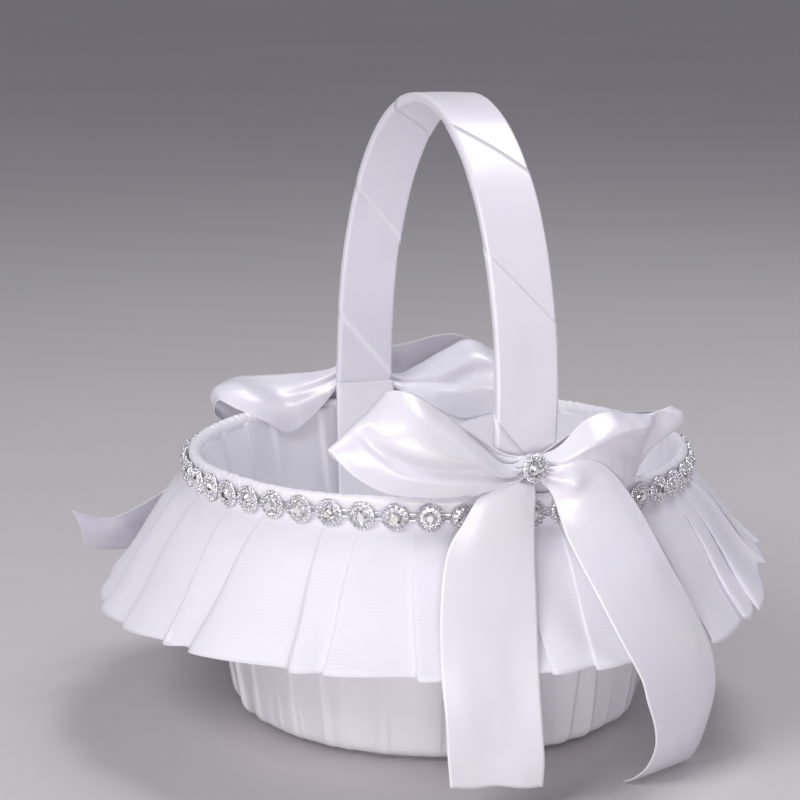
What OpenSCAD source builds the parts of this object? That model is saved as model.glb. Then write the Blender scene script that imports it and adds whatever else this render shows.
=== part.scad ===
// Flower girl basket: a satin-covered bowl with a tulle skirt, a rhinestone
// band, a ribbon-wrapped handle and a bow at each handle foot.
// Origin: centre of the underside. +Z is up and the handle spans Y, with
// the front foot at -Y and the rear foot at +Y. Millimetres and degrees.

/* [Bowl] */
// Radius of the bowl's wall, carried down to the table
base_r = 74; // [70:0.5:77]
// Radius of the bowl's wall at the rim
rim_r = 92.3; // [92.3:0.1:94]
// Height of the bowl's rim
rim_h = 99; // [96:0.5:110]
// Radius of the rounded bottom corner
corner_r = 5; // [4:0.5:8]
// Thickness of the moulded wall
shell_t = 1.5; // [1.2:0.1:1.6]
// Thickness of the foam pad in the bottom
pad_t = 6; // [4:0.5:10]

/* [Handle] */
// Half of the span across the outer faces of the arch
arch_half_span = 88.8; // [86:0.2:88.8]
// Height of the arch's top
arch_top = 232; // [215:1:250]
// Height at which the arch becomes two straight limbs
arch_spring = 126; // [120:1:136]
// Width of the handle over its ribbon
handle_w = 23; // [18:0.5:25]
// Thickness of the handle over its ribbon
handle_t = 3.8; // [3:0.1:5]
// Sideways lean of the hand-set handle
handle_lean = 1.7; // [-2:0.1:2]
// Height of the ends of the handle inside the bowl
foot_z = 60; // [50:1:75]

/* [Skirt] */
// Radius of the outer layer's hem
skirt_hem_r = 125; // [115:1:130]
// Height of the outer layer's hem
skirt_hem_z = 47; // [38:1:55]
// How far the inner layer's hem lies inside the outer one
hem_step_r = 7; // [5:0.5:12]
// How far the inner layer's hem lies above the outer one
hem_step_z = 5; // [3:0.5:10]

/* [Rhinestone band] */
// Number of motifs round the band
motif_count = 50; // [40:1:50]
// Diameter of one motif
motif_d = 9.5; // [7:0.5:9.5]
// Height of the band's centre line
band_z = 96; // [94:0.5:97]

/* [Bows] */
// Width of the bow ribbon
ribbon_w = 32; // [25:1:34]
// Length of a loop from the knot
loop_len = 66; // [55:1:75]
// Depth of a loop between its two passes
loop_depth = 20; // [14:1:22]
// Height of the bows' centres
bow_z = 114; // [113:0.5:117]
// Distance of the bows' centres from the basket's axis
bow_y = 94.5; // [94.5:0.1:95.5]

/* [Hidden] */
$fn = 96;

satin = [0.95, 0.94, 0.98];
shade_satin = [0.87, 0.86, 0.93];
tulle = [0.93, 0.93, 0.97];
silver = [0.78, 0.79, 0.82];
crystal = [0.88, 0.93, 0.97];
moulding = [0.80, 0.78, 0.74];

gap = 0.05;
cloth_t = 0.6;
disc_t = 1.6;
cover_z = disc_t + gap;
shell_z = cover_z + cloth_t + gap;
pad_z = shell_z + shell_t + gap;
lining_z = pad_z + pad_t + gap;
lean = atan((rim_r - base_r) / rim_h);
function wall_r(z) = base_r + (rim_r - base_r) * z / rim_h;

// Horizontal distances of each layer's faces from the bowl's outer wall
cover_out = cloth_t + gap;
lining_out = -shell_t - gap;
lining_in = lining_out - cloth_t;

shell_top = rim_h - 1;
wire_r = 0.8;
wire_z = shell_top + wire_r + gap;
binding_out = cover_out + gap + cloth_t;
binding_in = lining_in - gap - cloth_t;
binding_top = wire_z + wire_r + 1.2;
binding_drop = 4.5;

collar_r = wall_r(rim_h - 4) + cover_out + 0.2;
collar_top = binding_top - binding_drop - 0.9;
skirt_t = 0.5;
skirt_break_z = band_z - 6;
tape_r = collar_r + 2 * (skirt_t + gap);
tape_h = 5;
band_r = tape_r + skirt_t + 0.15;

core_w = handle_w - 1.3;
wrap_t = 0.6;
arch_a = arch_half_span - handle_t / 2;
arch_b = arch_top - handle_t / 2 - arch_spring;
kink_z = 107;
patch_t = 0.9;

motif_r = motif_d / 2;
halo_out = motif_r - 0.6;
halo_in = motif_r * 0.58;
stone_r = halo_in - 0.45;
plate_t = 0.8;

knot_r = 5.6;
knot_half = 7.5;
brooch_tilt = 8;
brooch_gap = 0.75;
tail_t = 0.8;

// ---- paths and outlines -------------------------------------------------

function tangent(p, i) =
    let (a = p[max(i - 1, 0)], b = p[min(i + 1, len(p) - 1)], v = b - a) v / norm(v);
function shifted(p, d) =
    [for (i = [0:len(p) - 1]) let (t = tangent(p, i)) p[i] + d * [t[1], -t[0]]];
function backwards(p) = [for (i = [len(p) - 1:-1:0]) p[i]];
function strip(p, half) = concat(shifted(p, half), backwards(shifted(p, -half)));

// Outline of a bowl-shaped solid whose wall is the bowl's, moved out by grow
function bowl_outline(grow, floor_z, top_z, corner) =
    let (xc = wall_r(floor_z + corner) + grow - corner / cos(lean), steps = 8)
    concat([[0, floor_z]],
           [for (i = [0:steps]) let (a = -90 + (90 - lean) * i / steps)
               [xc + corner * cos(a), floor_z + corner * (1 + sin(a))]],
           [[wall_r(top_z) + grow, top_z], [0, top_z]]);

// Mid line of the handle, from the foot at +y over the arch to the other foot
function limb(side, foot) =
    [[side * (arch_a - (kink_z - foot) * tan(lean)), foot],
     [side * (arch_a - (kink_z - foot) / 2 * tan(lean)), (foot + kink_z) / 2],
     [side * arch_a, kink_z],
     [side * arch_a, (kink_z + arch_spring) / 2]];
function handle_path(foot) =
    concat(limb(1, foot),
           [for (a = [0:3:180]) [arch_a * cos(a), arch_spring + arch_b * sin(a)]],
           backwards(limb(-1, foot)));

// Teardrop with its point at the origin and its round end at x = length
function teardrop(length, depth) =
    [for (a = [0:10:350]) [length * (1 - cos(a)) / 2, depth / 1.5 * sin(a) * sin(a / 2)]];

// ---- bowl ---------------------------------------------------------------

module base_disc() {
    color(satin) cylinder(r = wall_r(0) - corner_r - 2, h = disc_t);
}

module bowl_shell() {
    color(moulding) rotate_extrude() difference() {
        polygon(bowl_outline(0, shell_z, shell_top, corner_r));
        polygon(bowl_outline(-shell_t, shell_z + shell_t, shell_top + 1, corner_r - shell_t));
    }
}

module floor_pad() {
    color(tulle) translate([0, 0, pad_z]) cylinder(r = base_r - corner_r - 1.5, h = pad_t);
}

module outer_cover() {
    turn_under = 14;
    color(satin) rotate_extrude() difference() {
        polygon(bowl_outline(cover_out, cover_z, shell_top, corner_r + cloth_t));
        polygon(bowl_outline(gap, shell_z - gap, shell_top + 1, corner_r));
        square([base_r - corner_r - turn_under, shell_z + 1]);
    }
}

module inner_lining() {
    color(shade_satin) rotate_extrude() difference() {
        polygon(bowl_outline(lining_out, lining_z, shell_top, corner_r - 2));
        polygon(bowl_outline(lining_in, lining_z + cloth_t, shell_top + 1, corner_r - 2 - cloth_t));
    }
}

module rim_wire() {
    color(silver) rotate_extrude()
        translate([wall_r(wire_z) - shell_t / 2, wire_z]) circle(r = wire_r, $fn = 24);
}

module rim_binding() {
    low = binding_top - binding_drop;
    shoulder = binding_top - 1.4;
    color(satin) rotate_extrude() difference() {
        polygon([[wall_r(low) + binding_in, low], [wall_r(low) + binding_out, low],
                 [wall_r(shoulder) + binding_out, shoulder],
                 [wall_r(shoulder) + binding_out - 1.4, binding_top],
                 [wall_r(shoulder) + binding_in + 1.4, binding_top],
                 [wall_r(shoulder) + binding_in, shoulder]]);
        polygon([[wall_r(low - 1) + lining_in - gap, low - 1],
                 [wall_r(low - 1) + cover_out + gap, low - 1],
                 [wall_r(wire_z) + cover_out + gap, wire_z],
                 [wall_r(wire_z) + cover_out - 0.7, wire_z + wire_r + 0.3],
                 [wall_r(wire_z) + lining_in + 0.7, wire_z + wire_r + 0.3],
                 [wall_r(wire_z) + lining_in - gap, wire_z]]);
    }
}

// ---- skirt --------------------------------------------------------------

module skirt_layer(inside_r, break_z, hem_r, hem_z) {
    rotate_extrude() polygon([[inside_r, collar_top], [inside_r + skirt_t, collar_top],
                              [inside_r + skirt_t, break_z], [hem_r, hem_z],
                              [hem_r - 1.1 * skirt_t, hem_z], [inside_r, break_z - skirt_t]]);
}

module skirt_inner() {
    color(tulle)
        skirt_layer(collar_r, skirt_break_z - 2, skirt_hem_r - hem_step_r, skirt_hem_z + hem_step_z);
}

module skirt_outer() {
    color(tulle) skirt_layer(collar_r + skirt_t + gap, skirt_break_z, skirt_hem_r, skirt_hem_z);
}

module gather_tape() {
    color(satin) translate([0, 0, collar_top - tape_h]) rotate_extrude()
        translate([tape_r, 0]) square([skirt_t, tape_h]);
}

// ---- rhinestone motifs --------------------------------------------------

module motif_setting() {
    color(silver) rotate_extrude($fn = 48)
        polygon([[0, 0], [motif_r, 0], [motif_r, 1.5], [halo_out + gap, 1.5],
                 [halo_out + gap, plate_t], [halo_in - gap, plate_t], [halo_in - gap, 1.7],
                 [stone_r + gap, 1.7], [stone_r + gap, plate_t], [0, plate_t]]);
}

module motif_halo() {
    color(crystal) translate([0, 0, plate_t]) rotate_extrude($fn = 48)
        translate([halo_in, 0]) square([halo_out - halo_in, 0.7]);
}

module motif_stone() {
    color(crystal) rotate_extrude($fn = 32)
        polygon([[0, plate_t], [stone_r, plate_t], [stone_r, 1.6],
                 [stone_r * 0.6, 2.5], [0, 2.5]]);
}

module along_band() {
    for (i = [0:motif_count - 1]) rotate([0, 0, (i + 0.5) * 360 / motif_count])
        translate([band_r, 0, band_z]) rotate([0, 90, 0]) children();
}

module band_settings() { along_band() motif_setting(); }

module band_halos() { along_band() motif_halo(); }

module band_stones() { along_band() motif_stone(); }

module band_links() {
    link_r = 0.35;
    link_x = band_r + 0.9;
    pitch = 2 * link_x * sin(180 / motif_count);
    length = pitch - motif_d - 0.3;
    color(silver) for (i = [0:motif_count - 1], side = [-1, 1])
        rotate([0, 0, i * 360 / motif_count])
            translate([link_x * cos(180 / motif_count), 0, band_z + side * 1.1])
                rotate([90, 0, 0]) cylinder(r = link_r, h = length, center = true, $fn = 16);
}

// ---- handle -------------------------------------------------------------

// Extrudes an outline drawn in (y, z) across x
module across_x(width) {
    rotate([90, 0, 90]) linear_extrude(width, center = true) children();
}

// Leans a handle piece sideways about the line where its limbs enter the rim
module leaning() {
    translate([0, 0, kink_z]) rotate([0, handle_lean, 0]) translate([0, 0, -kink_z]) children();
}

module handle_core() {
    color(moulding) leaning() across_x(core_w)
        polygon(strip(handle_path(foot_z), handle_t / 2 - wrap_t - gap));
}

module handle_wrap() {
    color(satin) leaning() difference() {
        across_x(handle_w) polygon(strip(handle_path(foot_z + 6), handle_t / 2));
        across_x(core_w + 2 * gap) polygon(strip(handle_path(foot_z - 4), handle_t / 2 - wrap_t));
    }
}

module foot_patch(side) {
    path = [for (p = limb(1, foot_z - 3)) if (p[1] <= kink_z) p - [handle_t / 2 + gap + patch_t / 2, 0]];
    color(satin) leaning() rotate([0, 0, side > 0 ? 0 : 180])
        across_x(handle_w + 1) polygon(strip(path, patch_t / 2));
}

module front_foot_patch() { foot_patch(-1); }

module back_foot_patch() { foot_patch(1); }

// ---- bows ---------------------------------------------------------------

// Places a piece of the bow at the front foot (side = -1) or the back foot (1)
module at_foot(side) {
    translate([0, side * bow_y, bow_z]) children();
}

module knot(side) {
    bevel = 1.8;
    color(satin) at_foot(side) rotate([0, 90, 0]) rotate_extrude($fn = 48)
        polygon([[0, -knot_half], [knot_r - bevel, -knot_half], [knot_r, bevel - knot_half],
                 [knot_r, knot_half - bevel], [knot_r - bevel, knot_half], [0, knot_half]]);
}

module front_knot() { knot(-1); }

module back_knot() { knot(1); }

// A flattened ribbon loop that widens from the knot, along +x
module ribbon_loop() {
    wall = 0.9;
    neck = 11;
    root = 9;
    widening = 0.62;
    intersection() {
        linear_extrude(ribbon_w, center = true) difference() {
            polygon(teardrop(loop_len, loop_depth));
            translate([root, 0]) polygon(teardrop(loop_len - root - wall, loop_depth - 3 * wall));
        }
        rotate([90, 0, 0]) linear_extrude(2 * loop_depth, center = true)
            polygon([[0, -neck / 2], [loop_len * widening, -ribbon_w / 2],
                     [loop_len + 1, -ribbon_w / 2], [loop_len + 1, ribbon_w / 2],
                     [loop_len * widening, ribbon_w / 2], [0, neck / 2]]);
    }
}

// heading turns the loop round Z from +x, rise lifts its tip
module bow_loop(side, heading, rise) {
    color(satin) translate([0, side * (bow_y + 1), bow_z + 3]) rotate([0, 0, heading])
        translate([knot_half + 0.4, 0, 0]) rotate([0, -rise, 0]) ribbon_loop();
}

module front_loop_left() { bow_loop(-1, 183, 9); }

module front_loop_right() { bow_loop(-1, 16, 9); }

module back_loop_left() { bow_loop(1, 184, 5); }

module back_loop_right() { bow_loop(1, -4, 8); }

// Radius of what a tail falls over at height z: the band, the skirt, its hem
function drape_r(z) =
    let (cone = skirt_hem_r - (skirt_hem_r - tape_r) * (max(z, skirt_hem_z) - skirt_hem_z)
                / (skirt_break_z - skirt_hem_z))
    max(band_r + 2.5, cone);

// A station of a tail is [azimuth from -Y, height, lift off the skirt, roll, share of ribbon_w].
// Returns the two edge points of the ribbon there.
function station_edges(s) =
    let (out = [sin(s[0]), -cos(s[0]), 0], along = [cos(s[0]), sin(s[0]), 0],
         middle = (drape_r(s[1]) + s[2]) * out + [0, 0, s[1]],
         side = (cos(s[3]) * along + [0, 0, sin(s[3])]) * s[4] * ribbon_w / 2)
    [middle - side, middle + side];

// Smooth curve through points p, with a few steps between each two
function smooth_at(p, i, t) =
    let (a = p[max(i - 1, 0)], b = p[i], c = p[i + 1], d = p[min(i + 2, len(p) - 1)])
    b + t / 2 * (c - a + t * (2 * a - 5 * b + 4 * c - d + t * (3 * (b - c) + d - a)));
function smooth(p, steps = 4) =
    concat([for (i = [0:len(p) - 2], k = [0:steps - 1]) smooth_at(p, i, k / steps)],
           [p[len(p) - 1]]);

module ribbon_tail(stations) {
    rows = smooth(stations);
    edges = [for (r = rows) station_edges(r)];
    last = len(edges) - 1;
    normals = [for (i = [0:last])
        let (next = edges[min(i + 1, last)], past = edges[max(i - 1, 0)],
             n = cross(edges[i][1] - edges[i][0], next[0] + next[1] - past[0] - past[1]))
        n / norm(n) * tail_t / 2];
    corners = [for (i = [0:last]) each
        [edges[i][0] - normals[i], edges[i][1] - normals[i],
         edges[i][1] + normals[i], edges[i][0] + normals[i]]];
    sides = [for (i = [0:last - 1], k = [0:3])
        let (a = 4 * i + k, b = 4 * i + (k + 1) % 4) each [[a, b, b + 4], [a, b + 4, a + 4]]];
    caps = [[3, 2, 1, 0], [for (k = [0:3]) 4 * last + k]];
    color(satin) polyhedron(corners, concat(sides, caps));
}

hanging_tail = [[-3, 105, 2.6, 0, 0.25], [-9, 85, 3.5, 0, 1], [-11, 60, 3.5, 0, 1],
                [-12, 44, 3.5, 0, 1], [-10.5, 24, 3, 0, 1], [-9, 6, 0, 0, 1]];
curled_tail = [[4, 105, 2.6, 25, 0.25], [13.5, 92, 4.2, 25, 0.8], [17, 77, 5.2, 20, 1],
               [18.5, 61, 5.2, 17, 1], [20, 44, 5, 7, 1], [22.5, 26, 3.5, 2, 1],
               [24, 12, -2, 0, 1], [22.5, 4, -14, 0, 1]];
swept_tail = [[183, 104.5, 2.6, 30, 0.25], [190, 93, 6.4, 40, 0.6], [202, 76, 9.2, 42, 0.9],
              [213, 61, 9.5, 38, 0.95], [224, 54, 9.5, 34, 1], [233, 55, 12.5, 36, 1],
              [241, 60, 19, 40, 1], [246.5, 64, 25, 42, 1]];

module front_tail_left() { ribbon_tail(hanging_tail); }

module front_tail_right() { ribbon_tail(curled_tail); }

module back_tail_left() { ribbon_tail(swept_tail); }

module back_tail_right() { rotate([0, 0, 180]) ribbon_tail(hanging_tail); }

module brooch(side) {
    at_foot(side) translate([0, side * (knot_r + brooch_gap), 0])
        rotate([-90 * side, 0, 0]) rotate([0, brooch_tilt, 0]) children();
}

module front_brooch_setting() { brooch(-1) motif_setting(); }

module front_brooch_halo() { brooch(-1) motif_halo(); }

module front_brooch_stone() { brooch(-1) motif_stone(); }

module back_brooch_setting() { brooch(1) motif_setting(); }

module back_brooch_halo() { brooch(1) motif_halo(); }

module back_brooch_stone() { brooch(1) motif_stone(); }

// ---- assembly -----------------------------------------------------------

base_disc();
bowl_shell();
floor_pad();
outer_cover();
inner_lining();
rim_wire();
rim_binding();
skirt_inner();
skirt_outer();
gather_tape();
band_settings();
band_halos();
band_stones();
band_links();
handle_core();
handle_wrap();
front_foot_patch();
back_foot_patch();
front_knot();
front_loop_left();
front_loop_right();
front_tail_left();
front_tail_right();
front_brooch_setting();
front_brooch_halo();
front_brooch_stone();
back_knot();
back_loop_left();
back_loop_right();
back_tail_left();
back_tail_right();
back_brooch_setting();
back_brooch_halo();
back_brooch_stone();
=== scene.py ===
import bmesh
import bpy
import numpy as np
from mathutils import Matrix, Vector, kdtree


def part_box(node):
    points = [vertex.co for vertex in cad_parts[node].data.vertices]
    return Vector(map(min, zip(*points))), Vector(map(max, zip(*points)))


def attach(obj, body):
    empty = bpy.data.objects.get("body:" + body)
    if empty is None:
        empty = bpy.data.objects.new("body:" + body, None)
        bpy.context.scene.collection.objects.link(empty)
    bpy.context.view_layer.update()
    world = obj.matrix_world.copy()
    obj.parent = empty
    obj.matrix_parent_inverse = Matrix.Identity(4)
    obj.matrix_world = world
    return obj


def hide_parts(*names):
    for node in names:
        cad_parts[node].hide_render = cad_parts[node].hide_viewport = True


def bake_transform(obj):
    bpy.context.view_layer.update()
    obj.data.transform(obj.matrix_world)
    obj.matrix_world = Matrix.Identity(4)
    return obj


# Looks of the flower girl basket. Shapes are worked out in millimetres in the CAD's frame,
# and become metres where their mesh is made.

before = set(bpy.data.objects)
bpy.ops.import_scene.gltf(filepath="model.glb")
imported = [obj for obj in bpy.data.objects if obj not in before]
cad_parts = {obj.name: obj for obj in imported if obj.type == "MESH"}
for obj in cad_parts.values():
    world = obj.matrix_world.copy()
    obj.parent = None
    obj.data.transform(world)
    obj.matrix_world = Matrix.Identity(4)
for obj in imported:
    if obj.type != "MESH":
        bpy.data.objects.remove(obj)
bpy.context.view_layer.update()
MM = 0.001
TAU = 2 * np.pi


def cad(node):
    """Lowest and highest corner of a CAD node, in millimetres."""
    lo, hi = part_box(node)
    return np.array(lo) / MM, np.array(hi) / MM


# ---- the CAD's main sizes ----

CORNER_R = 5.0
DISC_INSET = 2
base_r = cad("base_disc")[1][0] + CORNER_R + DISC_INSET
rim_r, _, shell_top = cad("bowl_shell")[1]
lean = np.arctan((rim_r - base_r) / shell_top)
collar_top = cad("skirt_outer")[1][2]
hem_r, hem_z = cad("skirt_outer")[1][0], cad("skirt_outer")[0][2]
inner_hem_r, inner_hem_z = cad("skirt_inner")[1][0], cad("skirt_inner")[0][2]
tape_r = cad("gather_tape")[1][0]
band_z = (cad("band_settings")[0][2] + cad("band_settings")[1][2]) / 2
binding_low, binding_top = cad("rim_binding")[0][2], cad("rim_binding")[1][2]
knot_at = {side: (cad(n)[0] + cad(n)[1]) / 2 for side, n in ((-1, "front_knot"), (1, "back_knot"))}


def wall_r(z):
    """Radius of the bowl's outer wall at height z."""
    return base_r + (rim_r - base_r) * z / shell_top


# ---- camera ----


def direction(azimuth, elevation):
    """Unit vector from the basket, by degrees from -Y towards +X and degrees up."""
    a, e = np.radians([azimuth, elevation])
    return np.array([np.sin(a) * np.cos(e), -np.cos(a) * np.cos(e), np.sin(e)])


def placed(name, data, place, back):
    """A new camera or light at place, looking away from the direction back."""
    ob = bpy.data.objects.new(name, data)
    bpy.context.scene.collection.objects.link(ob)
    right = np.cross([0, 0, 1], back)
    right /= np.linalg.norm(right)
    m = np.eye(4)
    m[:3, 0], m[:3, 1], m[:3, 2], m[:3, 3] = right, np.cross(back, right), back, place
    ob.matrix_world = Matrix(m.tolist())
    return ob


AIM_HEIGHT = 0.12
CAMERA_FROM = (-20.2, 11.8)
CAMERA_FACES = (-19.38, 11.96)
LENS = 119.77


def make_camera():
    """One metre from the basket's middle, up and to the left of the front foot."""
    data = bpy.data.cameras.new("camera")
    data.sensor_width = 36
    data.lens = LENS
    data.clip_start, data.clip_end = 0.05, 50
    place = np.array([0, 0, AIM_HEIGHT]) + direction(*CAMERA_FROM)
    bpy.context.scene.camera = placed("camera", data, place, direction(*CAMERA_FACES))


make_camera()

# ---- materials ----


class Graph:
    """A material's node tree, with short calls to add nodes."""

    def __init__(self, name):
        self.material = bpy.data.materials.new(name)
        self.material.use_nodes = True
        self.tree = self.material.node_tree
        self.bsdf = next(n for n in self.tree.nodes if n.type == "BSDF_PRINCIPLED")

    def add(self, kind, inputs=(), **props):
        node = self.tree.nodes.new("ShaderNode" + kind)
        for key, value in props.items():
            setattr(node, key, value)
        for key, value in dict(inputs).items():
            self.put(node.inputs[key], value)
        return node

    def put(self, socket, value):
        if isinstance(value, bpy.types.NodeSocket):
            self.tree.links.new(value, socket)
        else:
            socket.default_value = value

    def math(self, operation, a, b=0.0, clamp=False):
        return self.add("Math", {0: a, 1: b}, operation=operation, use_clamp=clamp).outputs[0]

    def scaled(self, vector, scale):
        return self.add("Mapping", {"Vector": vector, "Scale": scale}).outputs[0]

    def noise(self, vector, scale, detail=2.0):
        return self.add("TexNoise", {"Vector": vector, "Scale": scale, "Detail": detail}).outputs["Fac"]

    def between(self, fac, low, high, a=0.35, b=0.65):
        """low where fac is under a, high where it is over b."""
        r = self.add("MapRange", {"Value": fac, "From Min": a, "From Max": b, "To Min": low, "To Max": high})
        return r.outputs[0]

    def mixed(self, fac, one, two):
        n = self.add("Mix", data_type="RGBA")
        self.put(n.inputs[0], fac)
        self.put(n.inputs[6], one)
        self.put(n.inputs[7], two)
        return n.outputs[2]

    def bump(self, height, strength, distance):
        return self.add("Bump", {"Height": height, "Strength": strength, "Distance": distance}).outputs[0]

    def shader(self, **values):
        for key, value in values.items():
            self.put(self.bsdf.inputs[key.replace("_", " ")], value)
        return self.material


RIB_PITCH = 0.0013
# The ribbon edges' whiter colour: partly the selvage's own weave, partly a painted highlight along the edge.
HEM_WHITE_AND_PAINTED_HIGHLIGHT = (0.97, 0.97, 1.0, 1)


def satin(name, light, dark, roughness):
    """Satin: its long floats of thread stretch the highlights, and slack cloth has faint waves."""
    g = Graph(name)
    cloth = g.add("UVMap", uv_map="cloth").outputs[0]
    place = g.add("TexCoord").outputs["Object"]
    tint = g.between(g.noise(place, 22, 2), 0.0, 1.0)
    slack = g.noise(g.scaled(cloth, (40, 25, 1)), 1, 2)
    hem = g.add("Attribute", attribute_name="hem").outputs["Fac"]
    # Towards the hem the colour goes whiter: partly the selvage, partly a painted highlight.
    colour = g.mixed(g.math("MULTIPLY", hem, 0.8), g.mixed(tint, light, dark), HEM_WHITE_AND_PAINTED_HIGHLIGHT)
    rough = g.between(slack, roughness - 0.02, roughness + 0.04, 0.1, 0.9)
    waves = g.bump(g.noise(place, 45, 1), 0.05, 0.0009)
    thread = g.add("Tangent", direction_type="UV_MAP", uv_map="cloth").outputs[0]
    return g.shader(Base_Color=colour, Roughness=rough, Normal=waves, Sheen_Weight=0.08, Sheen_Roughness=0.5,
                    Specular_IOR_Level=0.8, Anisotropic=0.45, Tangent=thread, Coat_Weight=0.07,
                    Coat_Roughness=0.22)


def net(name, light, dark, thin, thick, relief):
    """Gathered net: fine ribs across the drop, see-through between the threads."""
    g = Graph(name)
    cloth = g.add("UVMap", uv_map="cloth").outputs[0]
    place = g.add("TexCoord").outputs["Object"]
    uv = g.add("SeparateXYZ", {0: cloth})
    ribs = g.math("SINE", g.math("MULTIPLY", uv.outputs[1], TAU / RIB_PITCH))
    uneven = g.noise(place, 40, 3)
    hem = g.add("Attribute", attribute_name="hem").outputs["Fac"]
    cover = g.math("ADD", g.between(ribs, thin, thick, -0.8, 0.8), g.between(uneven, -0.04, 0.04))
    alpha = g.math("ADD", cover, g.math("MULTIPLY", hem, 0.15), clamp=True)
    return g.shader(Base_Color=g.mixed(g.between(uneven, 0, 1), light, dark), Alpha=alpha,
                    Normal=g.bump(ribs, relief, 0.00008), Roughness=0.6, Sheen_Weight=0.15,
                    Sheen_Roughness=0.5, Specular_IOR_Level=0.3)


def metal(name, colour, dull, roughness):
    g = Graph(name)
    place = g.add("TexCoord").outputs["Object"]
    # Random duller, rougher patches over the metal.
    dull_patches = g.noise(place, 900, 4)
    return g.shader(Base_Color=g.mixed(g.between(dull_patches, 0, 1), colour, dull), Metallic=1.0,
                    Roughness=g.between(dull_patches, roughness, roughness + 0.14),
                    Normal=g.bump(g.noise(place, 2600, 2), 0.15, 0.00004))


def foiled_glass(name, bright, deep, roughness):
    """Foil-backed rhinestone: each facet's base colour is a painted reflection, dark or bright by a noise of
    its facing, for the part of the room it would mirror.
    """
    g = Graph(name)
    facing = g.add("NewGeometry").outputs["True Normal"]
    place = g.add("TexCoord").outputs["Object"]
    # Painted reflections: a noise of each facet's facing picks the dark or the bright colour for it.
    shade = g.noise(g.add("VectorMath", {0: facing, 1: g.scaled(place, (60, 60, 60))}).outputs[0], 2.6, 1)
    return g.shader(Base_Color=g.mixed(g.between(shade, 0, 1, 0.38, 0.50), deep, bright), Metallic=0.6,
                    Roughness=roughness, Coat_Weight=1.0, Coat_Roughness=0.02, Coat_IOR=1.7,
                    Specular_IOR_Level=0.9)


def moulded(name, colour, shade, roughness):
    g = Graph(name)
    place = g.add("TexCoord").outputs["Object"]
    grain = g.noise(place, 320, 4)
    return g.shader(Base_Color=g.mixed(g.between(grain, 0, 1), colour, shade),
                    Roughness=g.between(grain, roughness, roughness + 0.15),
                    Normal=g.bump(grain, 0.2, 0.0002))


white_satin = satin("satin_ribbon_white", (0.87, 0.855, 0.90, 1), (0.83, 0.81, 0.88, 1), 0.32)
cover_satin = satin("satin_cover_white", (0.93, 0.915, 0.945, 1), (0.90, 0.88, 0.925, 1), 0.30)
handle_satin = satin("satin_handle_white", (0.86, 0.835, 0.885, 1), (0.83, 0.80, 0.87, 1), 0.33)
lining_satin = satin("satin_lining_white", (0.95, 0.94, 0.975, 1), (0.92, 0.91, 0.95, 1), 0.36)
outer_net = net("net_outer_white", (0.88, 0.87, 0.915, 1), (0.84, 0.83, 0.89, 1), 0.975, 1.0, 0.002)
inner_net = net("net_inner_white", (0.86, 0.85, 0.90, 1), (0.82, 0.80, 0.87, 1), 0.75, 0.99, 0.06)
tape_cloth = satin("gather_tape_white", (0.80, 0.79, 0.85, 1), (0.76, 0.75, 0.82, 1), 0.5)
silver = metal("silver_setting", (0.98, 0.98, 1.0, 1), (0.74, 0.74, 0.77, 1), 0.2)
steel = metal("steel_wire", (0.62, 0.63, 0.65, 1), (0.45, 0.46, 0.48, 1), 0.3)
# The stones' dark colours are painted dark reflections, and their bright colours painted reflected light.
crystal = foiled_glass("crystal_foiled", (0.99, 0.98, 0.96, 1), (0.06, 0.06, 0.07, 1), 0.03)
small_crystal = foiled_glass("crystal_small", (0.99, 0.99, 0.99, 1), (0.35, 0.34, 0.36, 1), 0.06)
board = moulded("base_board_white", (0.80, 0.79, 0.78, 1), (0.72, 0.71, 0.70, 1), 0.6)
bowl_plastic = moulded("bowl_plastic", (0.78, 0.77, 0.75, 1), (0.70, 0.69, 0.67, 1), 0.45)
wadding = moulded("wadding_white", (0.86, 0.86, 0.86, 1), (0.76, 0.76, 0.77, 1), 0.9)

# ---- mesh making ----


def link(name, verts, faces, material, uvs=None, hem=None, smooth=True, weld=False):
    """A mesh object from points in millimetres. uvs holds one pair for each face corner."""
    me = bpy.data.meshes.new(name)
    me.from_pydata((np.asarray(verts) * MM).tolist(), [], [list(f) for f in faces])
    if uvs is not None:
        me.uv_layers.new(name="cloth").data.foreach_set("uv", (uvs * MM).astype(np.float32).ravel())
    if hem is not None:
        me.attributes.new("hem", "FLOAT", "POINT").data.foreach_set("value", hem.astype(np.float32).ravel())
    me.polygons.foreach_set("use_smooth", [smooth] * len(me.polygons))
    me.materials.append(material)
    if weld:
        b = bmesh.new()
        b.from_mesh(me)
        bmesh.ops.remove_doubles(b, verts=b.verts, dist=2e-6)
        bmesh.ops.dissolve_degenerate(b, edges=b.edges, dist=1e-7)
        b.to_mesh(me)
        b.free()
    me.update()
    ob = bpy.data.objects.new(name, me)
    bpy.context.scene.collection.objects.link(ob)
    return ob


def finish(ob, node, rides=True):
    """Hides the CAD node the piece stands for and, when rides, makes the piece move with the basket."""
    if rides:
        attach(ob, "basket")
    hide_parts(node)
    return ob


def quads(nu, nv, wrap):
    """Corner indices (i, j) of a grid's faces, as (faces, 4, 2). i runs on past nu where the grid wraps."""
    i, j = np.meshgrid(np.arange(nu if wrap else nu - 1), np.arange(nv - 1), indexing="ij")
    i, j = i.ravel(), j.ravel()
    return np.stack([np.stack([i, j], -1), np.stack([i + 1, j], -1), np.stack([i + 1, j + 1], -1),
                     np.stack([i, j + 1], -1)], 1)


def grid_normals(p, wrap):
    du = (np.roll(p, -1, 0) - np.roll(p, 1, 0)) if wrap else np.gradient(p, axis=0)
    n = np.cross(du, np.gradient(p, axis=1))
    return n / np.maximum(np.linalg.norm(n, axis=2, keepdims=True), 1e-9)


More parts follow.
